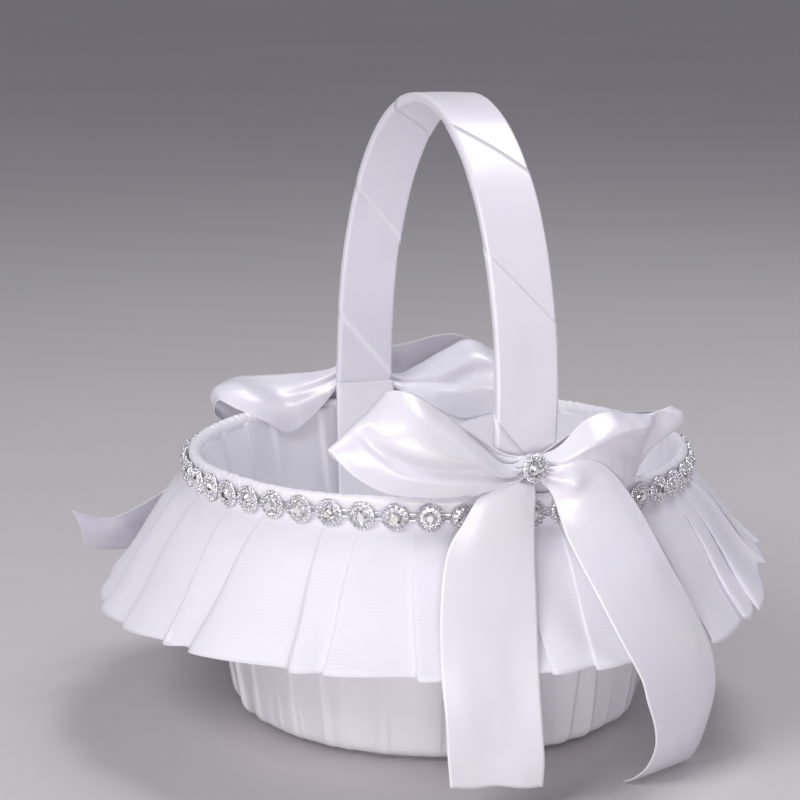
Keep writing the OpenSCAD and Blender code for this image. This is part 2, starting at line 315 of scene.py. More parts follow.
def developed(p, wrap):
    """Distances along both directions of a grid, for the cloth's coordinates. Each (nu + 1 if wrap, nv)."""
    q = np.concatenate([p, p[:1]]) if wrap else p
    du = np.linalg.norm(np.diff(q, axis=0), axis=2).mean(1)
    dv = np.linalg.norm(np.diff(q, axis=1), axis=2)
    u = np.concatenate([[0], np.cumsum(du)])[:, None] + np.zeros(q.shape[:2])
    return u, np.concatenate([np.zeros((len(q), 1)), np.cumsum(dv, 1)], 1)


def cloth(name, p, thickness, material, wrap=False, hem_width=1.0, bead=0.0, flip=False, weld=False, side=0,
          hems=(True, True)):
    """A closed thin sheet about the grid p. Its two long edges (first and last j) can have a raised selvage.
    side 1 keeps the grid as the outer face and puts the thickness behind it."""
    nu, nv = p.shape[:2]
    n = grid_normals(p, wrap) * (-1 if flip else 1)
    u, v = developed(p, wrap)
    away = np.minimum(v if hems[0] else v + 1e6, v[:, -1:] - v if hems[1] else v + 1e6)
    hem = np.clip(1 - away / hem_width, 0, 1)
    half = thickness / 2 + bead * hem[:nu, :, None] * (hem[:nu, :, None] < 1)
    front, back = p + n * half * (1 - side), p - n * half * (1 + side)
    verts = np.concatenate([front.reshape(-1, 3), back.reshape(-1, 3)])
    c = quads(nu, nv, wrap)
    flat = (c[..., 0] % nu) * nv + c[..., 1]
    uv = np.stack([u, v], -1)[c[..., 0], c[..., 1]]
    top, under = (flat[:, ::-1], flat) if flip else (flat, flat[:, ::-1])
    uv_top, uv_under = (uv[:, ::-1], uv) if flip else (uv, uv[:, ::-1])
    faces, uvs = [top, under + nu * nv], [uv_top, uv_under]

    def rim(i, j, closing):
        i, j = np.array(i), np.array(j)
        a, b = (i[:-1] % nu) * nv + j[:-1], (i[1:] % nu) * nv + j[1:]
        f = np.stack([a, a + nu * nv, b + nu * nv, b], 1)
        w = np.stack([u, v], -1)
        near, far = w[i[:-1], j[:-1]], w[i[1:], j[1:]]
        e = np.stack([near, near, far, far], 1)
        turn = closing != flip
        faces.append(f[:, ::-1] if turn else f)
        uvs.append(e[:, ::-1] if turn else e)

    count = nu + 1 if wrap else nu
    rim(range(count), [0] * count, False)
    rim(range(count), [nv - 1] * count, True)
    if not wrap:
        rim([0] * nv, range(nv), True)
        rim([nu - 1] * nv, range(nv), False)
    hem_points = np.concatenate([hem[:nu].ravel()] * 2)
    return link(name, verts, np.concatenate(faces), material, np.concatenate(uvs).reshape(-1, 2), hem_points,
                weld=weld)


def smooth_rows(points, per_span):
    """A smooth curve or surface through the rows of points, with per_span rows to each gap."""
    p = np.array(points, float)
    p = np.concatenate([[2 * p[0] - p[1]], p, [2 * p[-1] - p[-2]]])
    t = (np.arange(per_span) / per_span).reshape((-1,) + (1,) * (p.ndim - 1))
    out = []
    for k in range(1, len(p) - 2):
        a, b, c, d = p[k - 1:k + 3]
        out.append(b + t / 2 * (c - a + t * (2 * a - 5 * b + 4 * c - d + t * (3 * (b - c) + d - a))))
    return np.concatenate(out + [p[-2][None]])


def run_along(points):
    """Distance along a line at each of its points."""
    return np.concatenate([[0], np.cumsum(np.linalg.norm(np.diff(points, axis=0), axis=1))])


def ripples(p, size, seed, count=5):
    """A smooth wandering value from about -1 to 1 at each point, over lengths of about size."""
    rng = np.random.default_rng(seed)
    total = 0
    for _ in range(count):
        k = rng.normal(size=3)
        k *= TAU / size / np.linalg.norm(k) * rng.uniform(0.6, 1.5)
        total = total + np.sin(p @ k + rng.uniform(0, TAU))
    return total / np.sqrt(count) / 1.4


def full_circle(count):
    return np.linspace(0, TAU, count, endpoint=False)


def wrapped(angle):
    """The same angle from -180 to 180 degrees, in radians."""
    return (angle + np.pi) % TAU - np.pi


# ---- bowl ----


def bowl_profile(offset, floor_z, corner, inner_end, top, steps):
    """(radius, height) from inner_end along the floor, round the corner and up the wall."""
    xc = wall_r(floor_z + corner) + offset - corner / np.cos(lean)
    a = np.linspace(-np.pi / 2, -lean, 9)
    floor = [(r, floor_z) for r in np.linspace(inner_end, xc, steps[0], endpoint=False)]
    bend = [(xc + corner * np.cos(t), floor_z + corner * (1 + np.sin(t))) for t in a]
    z = np.linspace(bend[-1][1], top, steps[1] + 1)[1:]
    return np.array(floor + bend + [(wall_r(h) + offset, h) for h in z])


def revolve(profile, theta):
    """A grid (angle, profile) and the matching outward directions."""
    r, z = profile[None, :, 0] + 0 * theta[:, None], profile[None, :, 1] + 0 * theta[:, None]
    p = np.stack([r * np.cos(theta[:, None]), r * np.sin(theta[:, None]), z], -1)
    d = np.gradient(profile, axis=0)
    d /= np.linalg.norm(d, axis=1, keepdims=True)
    nr, nz = d[:, 1], -d[:, 0]
    n = np.stack([nr * np.cos(theta[:, None]), nr * np.sin(theta[:, None]), nz + 0 * theta[:, None]], -1)
    return p, n


def tension_folds(theta, r, z, count, seed, reach, height, soft, sharp):
    """Folds that run up the wall from the bottom, each steep on one side, and fade upwards."""
    rng = np.random.default_rng(seed)
    total = np.zeros(np.broadcast(theta, z).shape)
    for k in range(count):
        at = TAU * (k + rng.uniform(-0.35, 0.35)) / count
        slant, tall, far = rng.uniform(-0.10, 0.10), height * rng.uniform(0.4, 1.2), rng.uniform(*reach)
        x = wrapped(theta - at - slant * z / 100) * r
        across = np.where(x < 0, np.exp(-(x / soft) ** 2), np.exp(-(x / sharp) ** 2))
        total += tall * np.exp(-(z / far) ** 2) * across
    return total


TURNED_UNDER = 13
NO_HEMS = (False, False)


def make_cover():
    """The satin outside the bowl, turned under at the base, with folds that run up from it."""
    theta = full_circle(900)
    low = cad("outer_cover")[0][2] + 0.1
    prof = bowl_profile(0.55, low, CORNER_R + 0.6, base_r - CORNER_R - TURNED_UNDER, shell_top - 0.1, (6, 46))
    p, n = revolve(prof, theta)
    r, z = prof[None, :, 0], prof[None, :, 1]
    t = theta[:, None]
    folds = tension_folds(t, r, z, 30, 4, (28, 75), 1.5, 5.5, 1.0)
    folds += tension_folds(t, r, z, 46, 9, (10, 26), 0.6, 2.2, 0.8)
    folds += 0.35 * (1 + ripples(p, 45, 3)) * np.clip(z / 15, 0, 1)
    on_wall = np.clip((z - 2.2) / 5, 0, 1)
    p += n * (folds * (0.25 + 0.75 * on_wall))[..., None]
    return cloth("satin_cover", p, 0.4, cover_satin, wrap=True, side=1, hems=NO_HEMS)


def make_lining():
    """The satin inside the bowl: it swells over the wadding, and hangs in folds from the rim."""
    theta = full_circle(720)
    low = cad("inner_lining")[0][2] + 0.65
    floor_steps = 26
    prof = bowl_profile(-1.75, low, CORNER_R - 2.4, 0.0, shell_top - 0.3, (floor_steps, 44))
    prof[:floor_steps, 1] += 1.6 * (1 - (prof[:floor_steps, 0] / prof[floor_steps, 0]) ** 2)
    p, n = revolve(prof, theta)
    r, z = prof[None, :, 0], prof[None, :, 1]
    t = theta[:, None]
    h = z - prof[0, 1]
    wall = np.clip((z - 16) / 20, 0, 1)
    folds = 0.9 * (1 + ripples(p * [1, 1, 0.45], 26, 12)) * wall
    below_rim = np.maximum(shell_top - z, 0)
    folds += tension_folds(t, np.maximum(r, 1), below_rim, 34, 21, (18, 60), 1.1, 4.0, 1.2) * wall
    folds += 0.5 * (1 + ripples(p, 30, 8)) * (1 - wall) * np.clip((r - 2) / 12, 0, 1)
    folds += 0.25 * (1 + np.sin(58 * t + 2 * ripples(p, 40, 2))) * np.exp(-((r - 62) / 9) ** 2) * (h < 3)
    folds = np.maximum(folds, 0.15)
    p -= n * folds[..., None]
    return cloth("satin_lining", p, 0.35, lining_satin, wrap=True, flip=True, side=1, weld=True, hems=NO_HEMS)


def make_binding():
    """The cloth roll over the rim wire, gathered all round, with a slightly fuzzy top edge."""
    theta = full_circle(1500)
    mid = (cad("rim_wire")[0][2] + cad("rim_wire")[1][2]) / 2
    shape = smooth_rows([(1.15, binding_low), (1.3, binding_low + 1.0), (1.4, mid - 0.7), (1.25, mid + 0.7),
                         (0.3, binding_top - 0.5), (-0.8, binding_top - 0.1), (-1.9, binding_top - 0.6),
                         (-2.8, mid + 0.5), (-3.0, mid - 0.7), (-2.75, binding_low + 0.8),
                         (-2.5, binding_low)], 3)
    prof = np.stack([wall_r(shape[:, 1]) + shape[:, 0], shape[:, 1]], 1)
    p, n = revolve(prof, theta)
    t, z = theta[:, None], prof[None, :, 1]
    top = np.clip((z - binding_low) / (binding_top - binding_low), 0, 1)
    gather = 0.05 * np.sin(170 * t + 9 * ripples(p, 60, 31)) + 0.04 * np.sin(277 * t + 7 * ripples(p, 35, 32))
    fuzz = 0.20 * ripples(p, 2.8, 33, 7) * top ** 2
    swell = 0.30 * ripples(p, 26, 34)
    p = p + n * (gather + fuzz + swell)[..., None]
    p[..., 2] += top * (0.7 - 1.0 * np.sin(t))
    return cloth("rim_roll", p, 0.4, lining_satin, wrap=True, side=1, hems=NO_HEMS)


# ---- skirt ----


# The skirt's hem rides up here, behind the right-hand bow loop,
LIFTED_AT, LIFTED_SPREAD = np.radians([-16, 17])
LIFTED_UP, LIFTED_IN = 13, 2.5
# and it hangs a little lower and wider here, on the left
DIPPED_AT, DIPPED_SPREAD = np.radians([170, 27])
DIPPED_DOWN, DIPPED_OUT = 4.5, 1.5
NET_THICKNESS = 0.12
SKIRT_MEAN_R = 110
BELOW_HEM = 14
# Beside a tail, the skirt comes back out by this slope after this distance
PRESS_REACH, PRESS_SLOPE = 2, 0.75
PRESS_MARGIN = 0.25
POINTS_PER_PLEAT = 22
ROWS_PER_SPAN = 6
OUTSIDE_SHARE = 0.72


def pleated(name, profile, pleats, depth, lap, seed, press, material):
    """A layer of knife pleats. profile is (radius, height) from the top edge to the hem, depth is how far a
    pleat stands out at the hem, and lap is how far one reaches over the next."""
    rng = np.random.default_rng(seed)
    width = rng.uniform(0.55, 1.5, pleats)
    width *= TAU / width.sum()
    start = np.cumsum(width) - width
    s = (np.arange(POINTS_PER_PLEAT) / POINTS_PER_PLEAT)[None, :]
    out = s < OUTSIDE_SHARE
    x = np.where(out, s / OUTSIDE_SHARE, 1.0)
    back = np.where(out, 0.0, (s - OUTSIDE_SHARE) / (1 - OUTSIDE_SHARE))
    y = np.where(out, np.cos(np.pi * x ** 1.25), -np.cos(np.pi * back))
    deep = rng.uniform(0.55, 1.35, (pleats, 1))
    laps = rng.uniform(-0.7, 1.5, (pleats, 1)) * lap
    drop = rng.uniform(-1, 1, (pleats, 1))
    swing = rng.uniform(-1, 1, pleats) * 0.5 * width.mean()
    rows = smooth_rows(profile, ROWS_PER_SPAN)
    run = run_along(rows)
    collar = run[ROWS_PER_SPAN]
    t = np.clip((run - collar) / (run[-1] - collar), 0, 1)
    d = np.gradient(rows, axis=0)
    d /= np.linalg.norm(d, axis=1, keepdims=True)
    next_of = np.roll(np.arange(pleats), -1)
    grid = []
    for k, (r, z) in enumerate(rows):
        lo = start + swing * t[k]
        hi = np.where(next_of == 0, TAU, 0) + (start + swing * t[k])[next_of]
        over = laps * t[k] ** 1.1 / r
        a = lo[:, None] + (hi - lo)[:, None] * x + over * (x - back)
        push = (0.10 + (depth - 0.10) * t[k] ** 1.15) * (deep + (deep[next_of] - deep) * back) * y
        lifted = t[k] ** 1.6 * np.exp(-(wrapped(a - LIFTED_AT) / LIFTED_SPREAD) ** 2)
        dipped = t[k] ** 1.6 * np.exp(-(wrapped(a - DIPPED_AT) / DIPPED_SPREAD) ** 2)
        uneven = 0.9 * y + 0.8 * (drop + (drop[next_of] - drop) * back)
        low = z - t[k] ** 2 * uneven + LIFTED_UP * lifted - DIPPED_DOWN * dipped
        rr = r + push * -d[k, 1] - LIFTED_IN * lifted + DIPPED_OUT * dipped
        zz = low + push * d[k, 0] * 0.6
        grid.append(np.stack([rr * np.cos(a), rr * np.sin(a), zz], -1).reshape(-1, 3))
    p = np.stack(grid, 1)
    for _ in range(4):
        p = (np.roll(p, 1, 0) + 2 * p + np.roll(p, -1, 0)) / 4
    wave = 0.6 * ripples(p, 34, seed + 1)[..., None] * t[None, :, None]
    p = p + grid_normals(p, True) * wave
    return cloth(name, press(p), NET_THICKNESS, material, wrap=True, hem_width=0.8, hems=(False, True))


def presser(covers, clear):
    """Keeps a skirt layer under the pieces in covers: a function that moves its points inwards."""
    points = np.concatenate([np.array([v.co for v in ob.data.vertices]) / MM for ob in covers])
    points = points[points[:, 2] > hem_z - BELOW_HEM]
    tree = kdtree.KDTree(len(points))
    radius = np.linalg.norm(points[:, :2], axis=1)
    angle = np.arctan2(points[:, 1], points[:, 0])
    for k in range(len(points)):
        tree.insert((angle[k] * SKIRT_MEAN_R, points[k, 2], 0), k)
    tree.balance()
    low, high = angle.min() - PRESS_MARGIN, angle.max() + PRESS_MARGIN

    def press(p):
        r, a = np.linalg.norm(p[..., :2], axis=-1), np.arctan2(p[..., 1], p[..., 0])
        for i, j in np.argwhere((a > low) & (a < high)):
            _, k, far = tree.find((a[i, j] * SKIRT_MEAN_R, p[i, j, 2], 0))
            limit = radius[k] - clear + max(0.0, far - PRESS_REACH) * PRESS_SLOPE
            if r[i, j] > limit:
                p[i, j, :2] *= limit / r[i, j]
        return p

    return press


def make_tape():
    theta = full_circle(1200)
    lo, hi = cad("gather_tape")
    z = np.linspace(lo[2], hi[2], 12)
    p, n = revolve(np.stack([tape_r - 0.2 + 0 * z, z], 1), theta)
    t = theta[:, None]
    row = np.exp(-((z - band_z) / 0.5) ** 2) + np.exp(-((z - band_z + 3.4) / 0.5) ** 2)
    pucker = 0.14 * np.sin(150 * t) * (1 - row) - 0.2 * row
    p += n * pucker[..., None]
    return cloth("gathering_tape", p, 0.3, tape_cloth, wrap=True, side=1, hems=NO_HEMS)


# ---- rhinestones ----


def ball(radius, around, rings):
    """Verts and faces of a small ball."""
    verts = [(0, 0, radius)]
    for k in range(1, rings):
        a = np.pi * k / rings
        r, z = radius * np.sin(a), radius * np.cos(a)
        verts += [(r * np.cos(TAU * i / around), r * np.sin(TAU * i / around), z) for i in range(around)]
    verts.append((0, 0, -radius))
    sides = [(i, (i + 1) % around) for i in range(around)]
    faces = [[0, 1 + i, 1 + j] for i, j in sides]
    for k in range(rings - 2):
        o = 1 + k * around
        faces += [[o + i, o + around + i, o + around + j, o + j] for i, j in sides]
    o = 1 + (rings - 2) * around
    faces += [[o + i, len(verts) - 1, o + j] for i, j in sides]
    return np.array(verts), faces


def lathe(outline, around, wave=None):
    """Verts and faces of a closed outline [(radius, height)] turned round z."""
    verts, faces = [], []
    m = len(outline)
    for i in range(around):
        a = TAU * i / around
        for r, z in outline:
            k = 1 + (wave(a) if wave and r > 4 else 0)
            verts.append((r * k * np.cos(a), r * k * np.sin(a), z))
    for i in range(around):
        j = (i + 1) % around
        faces += [[i * m + q, j * m + q, j * m + (q + 1) % m, i * m + (q + 1) % m] for q in range(m)]
    return np.array(verts), faces


def brilliant(radius, low, girdle, top):
    """A cut stone: straight girdle, two rows of crown facets and a table."""
    n = 8
    verts = [(radius * np.cos(TAU * i / (2 * n)), radius * np.sin(TAU * i / (2 * n)), z)
             for z in (low, girdle) for i in range(2 * n)]
    mid = girdle + (top - girdle) * 0.62
    verts += [(radius * 0.78 * np.cos(TAU * (i + 0.5) / n), radius * 0.78 * np.sin(TAU * (i + 0.5) / n), mid)
              for i in range(n)]
    verts += [(radius * 0.5 * np.cos(TAU * i / n), radius * 0.5 * np.sin(TAU * i / n), top) for i in range(n)]
    faces = [[i, (i + 1) % (2 * n), 2 * n + (i + 1) % (2 * n), 2 * n + i] for i in range(2 * n)]
    g, m, t = 2 * n, 4 * n, 5 * n
    for i in range(n):
        left, right = g + 2 * i, g + (2 * i + 2) % (2 * n)
        faces += [[left, left + 1, m + i], [left + 1, right, m + i], [left, m + i, t + i],
                  [right, t + (i + 1) % n, m + i], [m + i, t + (i + 1) % n, t + i]]
    faces.append([t + i for i in range(n)])
    faces.append([i for i in reversed(range(2 * n))])
    return np.array(verts), faces


def joined(parts):
    verts, faces, base = [], [], 0
    for v, f in parts:
        verts.append(v)
        faces += [[base + k for k in q] for q in f]
        base += len(v)
    return np.concatenate(verts), faces


def moved(part, at=(0, 0, 0), turn=0.0):
    v, f = part
    c, s = np.cos(turn), np.sin(turn)
    return v @ np.array([[c, s, 0], [-s, c, 0], [0, 0, 1]]) + np.array(at), f


MOTIF_R = (cad("band_settings")[1][2] - cad("band_settings")[0][2]) / 2 * 1.05
STONE_R = MOTIF_R * 0.58 - 0.45
PLATE = 0.8
BEADS = 22
CHIPS = 12


def round_at(part, radius, height, count, phase=0.0, turned=False):
    """Copies of a part, evenly spaced round the z axis."""
    turns = TAU * (np.arange(count) + phase) / count
    return [moved(part, (radius * np.cos(a), radius * np.sin(a), height), a * turned) for a in turns]


def motif_parts():
    """The three parts of one rhinestone motif, about its own axis, standing on z = 0."""
    rim = MOTIF_R - 0.42
    edge = [(0.6, 0), (MOTIF_R - 0.25, 0), (MOTIF_R - 0.05, 0.35), (MOTIF_R - 0.3, PLATE), (0.6, PLATE)]
    plate = lathe(edge, 66, lambda a: 0.03 * np.cos(BEADS * a))
    collar = lathe([(STONE_R + 0.05, PLATE - 0.1), (STONE_R + 0.42, PLATE - 0.1), (STONE_R + 0.34, 1.55),
                    (STONE_R + 0.16, 1.72), (STONE_R + 0.05, 1.6)], 40)
    claw = ball(0.26, 6, 4)
    middle = (STONE_R + rim) / 2
    setting = joined([plate, collar] + round_at(ball(0.47, 8, 5), rim, 1.05, BEADS)
                     + round_at(claw, STONE_R + 0.02, 1.72, 8, 0.5)
                     + round_at(claw, middle, 1.15, CHIPS, 0.5))
    chips = joined(round_at(brilliant(0.62, PLATE, 1.15, 1.6), middle, 0, CHIPS, turned=True))
    return setting, chips, brilliant(STONE_R, PLATE, 1.45, 2.5)


def copies(part, matrices):
    v, f = part
    h = np.concatenate([v, np.ones((len(v), 1))], 1)
    verts = np.concatenate([(h @ m.T)[:, :3] for m in matrices])
    n = len(v)
    return verts, [[k * n + i for i in q] for k in range(len(matrices)) for q in f]


def band_places():
    """Where each motif of the band goes, each tipped and turned a little, as hand-set chain is."""
    rng = np.random.default_rng(5)
    count = 50
    foot = cad("band_settings")[1][0] / np.cos(np.pi / count) - 1.5
    out = []
    for k in range(count):
        a = TAU * (k + 0.5) / count
        radial, along, up = (np.array([np.cos(a), np.sin(a), 0]), np.array([-np.sin(a), np.cos(a), 0]),
                             np.array([0, 0, 1.0]))
        tip, roll = rng.normal(0, 0.05), rng.uniform(-0.2, 0.2)
        z = radial * np.cos(tip) + up * np.sin(tip)
        y = up * np.cos(tip) - radial * np.sin(tip)
        x, y = along * np.cos(roll) + y * np.sin(roll), y * np.cos(roll) - along * np.sin(roll)
        m = np.eye(4)
        m[:3, 0], m[:3, 1], m[:3, 2] = x, y, z
        m[:3, 3] = radial * foot + up * (band_z - 0.9 * (1 + np.sin(a)) + rng.normal(0, 0.12))
        out.append(m)
    return out


def brooch_place(side):
    """Where a brooch goes: it faces out of the bow, turned a little to the right."""
    lo, hi = cad("front_brooch_setting" if side < 0 else "back_brooch_setting")
    tilt = np.radians(8)
    z = np.array([np.sin(tilt), side * np.cos(tilt), 0])
    x = np.array([np.cos(tilt), -side * np.sin(tilt), 0])
    m = np.eye(4)
    m[:3, 0], m[:3, 1], m[:3, 2] = x, np.cross(z, x), z
    m[:3, 3] = (lo + hi) / 2 + [1.6 * side, 0, -0.5] - z * 0.85
    return m


def stone_set(names, nodes, parts, places):
    """A metal piece, its ring of small stones and its centre stone, at each of the places."""
    looks = ((silver, "silver_setting", True), (small_crystal, "crystal", False), (crystal, "crystal", False))
    for name, node, part, (material, slot, smooth) in zip(names, nodes, parts, looks):
        finish(link(name, *copies(part, places), material, smooth=smooth), node)


def make_stones():
    """The band's motifs, then the two brooches, which are motifs with a pair of hooks at their side."""
    setting, chips, stone = motif_parts()
    stone_set(("band_settings_beaded", "band_chips", "band_crystals"),
              ("band_settings", "band_halos", "band_stones"), (setting, chips, stone), band_places())
    verts, faces = lathe([(0.05, -2.2), (0.4, -2.0), (0.4, 2.0), (0.05, 2.2)], 8)
    hook = verts[:, [2, 0, 1]] + [-MOTIF_R - 1.2, 0, 0.5]
    hooked = joined([setting] + [moved((hook, faces), (0, y, 0)) for y in (-1.1, 1.1)])
    for side, foot in ((-1, "front"), (1, "back")):
        stone_set((f"brooch_setting_{foot}", f"brooch_chips_{foot}", f"brooch_crystal_{foot}"),
                  (f"{foot}_brooch_setting", f"{foot}_brooch_halo", f"{foot}_brooch_stone"),
                  (hooked, chips, stone), [brooch_place(side)])


# ---- handle ----

HANDLE_HALF_W = 11.5
HANDLE_HALF_T = 1.9
ARCH_SPRING = 126.0
KINK_Z = 107.0
EDGE_R = 1.25
STEP = 0.5
# How far the ribbon climbs in one turn, its width over that, and where the first lap shows
WRAP_PITCH = 57.5
WRAP_LAP = 1.16
# The ribbon's low edge is tucked in this much, and its far edge stands this much higher
LAP_UNDER, LAP_RISE = -0.20, 0.30
FIRST_SEAM_Z = 114.5
HANDLE_LEAN = np.radians(1.7)
arch_a = cad("handle_wrap")[1][1] - HANDLE_HALF_T
arch_b = cad("handle_wrap")[1][2] - HANDLE_HALF_T - ARCH_SPRING
WRAP_FOOT = cad("handle_wrap")[0][2]


def handle_line(foot):
    """Points (y, z) of the handle's middle line, STEP apart, from front foot to back foot."""
    up = np.linspace(foot, KINK_Z, 40)
    limb = np.stack([-(arch_a - (KINK_Z - up) * np.tan(lean)), up], 1)
    straight = np.stack([np.full(12, -arch_a), np.linspace(KINK_Z, ARCH_SPRING, 12)], 1)
    a = np.linspace(np.pi, 0, 400)
    arch = np.stack([arch_a * np.cos(a), ARCH_SPRING + arch_b * np.sin(a)], 1)
    half = np.concatenate([limb[:-1], straight[:-1]])
    line = np.concatenate([half, arch, (half * [-1, 1])[::-1]])
    run = run_along(line)
    s = np.arange(0, run[-1], STEP)
    fine = np.stack([np.interp(s, run, line[:, k]) for k in (0, 1)], 1)
    kernel = np.ones(9) / 9
    for k in (0, 1):
        fine[4:-4, k] = np.convolve(fine[:, k], kernel, "valid")
    return fine


def on_handle(s, x, out, line):
    """Points at s along the handle, x across it and out from its middle surface."""
    k = np.clip(s / STEP, 0, len(line) - 1.001)
    i = k.astype(int)
    f = (k - i)[..., None]
    p = line[i] * (1 - f) + line[i + 1] * f
    d = np.gradient(line, axis=0)
    t = d[i] * (1 - f) + d[i + 1] * f
    t /= np.linalg.norm(t, axis=-1, keepdims=True)
    y, z = p[..., 0] - t[..., 1] * out, p[..., 1] + t[..., 0] * out
    c, sn = np.cos(HANDLE_LEAN), np.sin(HANDLE_LEAN)
    return np.stack([x * c + (z - KINK_Z) * sn, y, KINK_Z + (z - KINK_Z) * c - x * sn], -1)


def make_handle_wrap():
    """One ribbon wound round the flat handle in a rising spiral, each turn lapping the last."""
    line = handle_line(WRAP_FOOT)
    length = (len(line) - 1) * STEP
    edge = []
    for right, outer, start in ((1, 1, 0), (-1, 1, 90), (-1, -1, 180), (1, -1, 270)):
        for a in np.radians(np.linspace(start, start + 90, 6)):
            edge.append((right * (HANDLE_HALF_W - EDGE_R) + EDGE_R * np.cos(a),
                         outer * (HANDLE_HALF_T - EDGE_R) + EDGE_R * np.sin(a), np.cos(a), np.sin(a)))
    edge = np.array(edge)
    close = np.concatenate([edge, edge[:1]])
    dist = run_along(close[:, :2])
    around = dist[-1]
    w = np.sort(np.concatenate([np.linspace(0, around, 44, endpoint=False), dist[:-1]]))
    w = w[np.concatenate([[True], np.diff(w) > 0.12])]
    sec = np.stack([np.interp(w, dist, close[:, k]) for k in range(4)], 1)
    width = WRAP_PITCH * WRAP_LAP
    first_seam = STEP * np.argmin(np.abs(line[:len(line) // 2, 1] - FIRST_SEAM_Z))
    front = np.argmin(np.abs(sec[:, 0]) + 100 * (sec[:, 1] < 0))
    offset = first_seam - WRAP_PITCH * w[front] / around - width
    turns = np.arange(-int(np.ceil((offset + width) / WRAP_PITCH)) - 1,
                      int(np.ceil((length - offset) / WRAP_PITCH)) + 1)
    low_edge = offset + WRAP_PITCH * (turns[:, None] + w[None, :] / around).ravel()[:, None]
    up = low_edge + width * np.linspace(0, 1, 18)[None, :]
    keep = (up.max(1) > 0) & (up.min(1) < length)
    s = np.clip(up, 0, length)[keep]
    share = (s - low_edge[keep]) / width
    lift = LAP_UNDER + LAP_RISE * np.clip(share, 0, 1) ** 1.5
    across, outer, across_dir, outer_dir = np.tile(sec, (len(turns), 1))[keep].T[..., None]
    p = on_handle(s, across + across_dir * lift, outer + outer_dir * lift, line)
    p += 0.10 * ripples(p, 18, 41)[..., None] * grid_normals(p, False)
    return cloth("handle_ribbon_wrap", p, 0.20, handle_satin, hem_width=1.1, bead=0.02, weld=True)


def make_foot_patch(side):
    """The satin strip that hides the handle's foot inside the bowl."""
    lo, hi = cad("front_foot_patch" if side < 0 else "back_foot_patch")
    line = handle_line(lo[2])
    reach = 52.0
    s = np.linspace(0.4, reach, 40)
    if side > 0:
        s = (len(line) - 1) * STEP - s
    x = np.linspace(-1, 1, 25)
    half = HANDLE_HALF_W + 0.6 + 0.8 * (1 - np.linspace(0, 1, 40))
    S, X = s[:, None] + 0 * x[None, :], x[None, :] * half[:, None]
    out = -(HANDLE_HALF_T + 0.75 - 0.5 * np.abs(x[None, :]) ** 6)
    flat = np.stack([S, X, out + 0 * S], -1)
    out = out - 0.3 * ripples(flat * [1, 1, 0], 16, 55 + side) - 0.25 * np.exp(-((S - S[-1, 0]) / 1.2) ** 2)
    p = on_handle(S, X, out, line)
    return cloth("foot_patch_front" if side < 0 else "foot_patch_back", p, 0.3, lining_satin, hem_width=0.9,
                 bead=0.06, flip=side > 0)


# ---- bows ----


STEPS_ALONG, STEPS_ACROSS = 9, 8
RIBBON_THICKNESS = 0.28


def ribbon(name, rows, seed, wave):
    """A ribbon through a net of points: rows along it, each with as many points from edge to edge."""
    p = smooth_rows(rows, STEPS_ALONG)
    p = np.swapaxes(smooth_rows(np.swapaxes(p, 0, 1), STEPS_ACROSS), 0, 1)
    n = grid_normals(p, False)
    ease = np.clip(np.minimum(np.arange(len(p)), np.arange(len(p))[::-1]) / 12, 0, 1)[:, None, None]
    p = p + n * wave * ease * (ripples(p, 17, seed) + 0.5 * ripples(p, 7, seed + 50))[..., None]
    return cloth(name, p, RIBBON_THICKNESS, white_satin, hem_width=1.0, bead=0.07)


def row(top, low, *belly):
    """Points from edge to edge. belly holds the shift of each inner one: (x, y, z), or how far out."""
    a, b = np.array(top, float), np.array(low, float)
    out = 1 if a[1] > 0 else -1
    shifts = [np.array(v if isinstance(v, tuple) else (0, v * out, 0), float) for v in belly]
    return [a] + [a + (b - a) * (k + 1) / (len(belly) + 1) + v for k, v in enumerate(shifts)] + [b]


FRONT_LEFT_LOOP = [
    row((-3, -96, 116.5), (-3, -97, 110.5), 2, 3, 2, 1, 3, 1),
    row((-8.5, -98, 115), (-9, -101, 108), 2, 3, 3, 0.5, 3, 1.5),
    row((-15, -99, 117), (-17, -104, 108), 3, 5, 5, 1, 4, 2),
    row((-23.5, -99, 125.5), (-26, -105, 107.3), 5.5, 8, (0, -8.5, 1), 2, (0, -5, -0.4), 3),
    row((-33, -98.5, 134), (-40, -105, 107.3), 7, 10, (0, -10.5, -1.5), (0, -2.5, -2.4), (0, -5, -1.5), 3),
    row((-43, -98, 141), (-55, -103, 109.3), 6.5, 10, (0, -10.5, -3.5), (0, -3, -2.7), (0, -4, -2), 2.5),
    row((-49, -96, 143), (-66, -100.5, 115.5), 4, 6.5, (0, -8, -2), (0, -3.5, -2), 3, 2),
    row((-52.5, -92.5, 142), (-74, -96.5, 124.5), 1, 1.5, 2.5, 1.5, 1, 0.5),
    row((-49, -88.5, 140), (-69, -91.5, 119), -2, -3, -3, -3, -2, -1),
    row((-38, -86.5, 135), (-52, -89.5, 111), -2, -3, -3, -3, -2, -1),
    row((-22, -88, 126), (-29, -91, 109), -2, -3, -3, -2, -1, -1),
    row((-10, -92.5, 118), (-12, -94, 109.5), -1, -1, -1, -1, 0, 0),
    row((-3, -95, 116.5), (-3, -95, 111), 0, 0, 0, 0, 0, 0),
]
